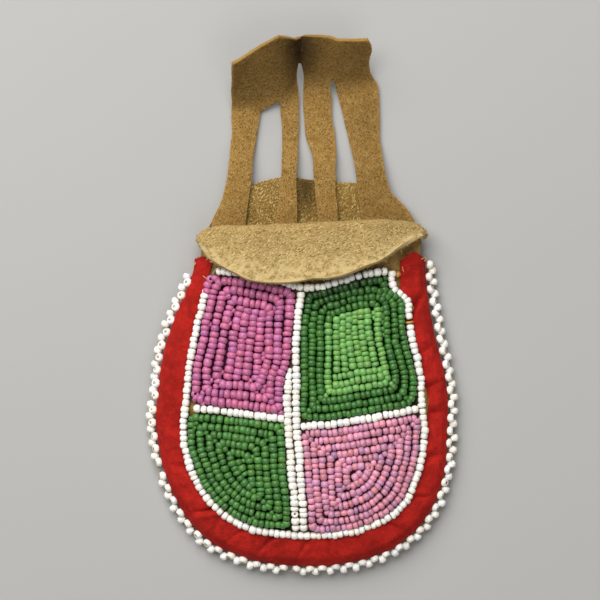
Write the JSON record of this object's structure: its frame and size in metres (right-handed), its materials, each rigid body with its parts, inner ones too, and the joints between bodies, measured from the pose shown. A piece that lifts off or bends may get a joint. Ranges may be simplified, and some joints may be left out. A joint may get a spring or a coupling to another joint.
{
  "type": "puzzle bag",
  "caption": "Small flat hide pouch with a beaded face, bound seam, edge beading, a tongue folded over its mouth and slit straps that end in a band.",
  "frame": {"origin": "middle of the bag's box, on the surface that it lies on", "axes": "+X across the bag to the right of the beaded face, +Y from the round bottom to the straps, +Z out of the beaded face"},
  "size_m": [0.081, 0.1404, 0.0126],
  "materials": {
    "hide": "napped, undyed",
    "strap_hide": "napped, smoked tan",
    "red_cloth": "plain weave, matt",
    "white_beads": "opaque, glossy",
    "magenta_beads": "opaque, glossy",
    "dark_green_beads": "opaque, glossy",
    "light_green_beads": "opaque, glossy",
    "green_beads": "opaque, glossy",
    "pink_beads": "opaque, glossy"
  },
  "bodies": {
    "root": {"back_panel": "hide", "front_panel": "hide", "strap_piece": "strap_hide", "red_binding": "red_cloth", "edge_bead_string": "white_beads", "white_outline_row": "white_beads", "white_top_row": "white_beads", "white_lane_row_right": "white_beads", "white_lane_row_left": "white_beads", "white_cross_row_left": "white_beads", "white_cross_row_right": "white_beads", "magenta_bead_field": "magenta_beads", "dark_green_bead_field": "dark_green_beads", "light_green_bead_field": "light_green_beads", "green_bead_field": "green_beads", "pink_bead_field": "pink_beads"}
  },
  "joints": []
}
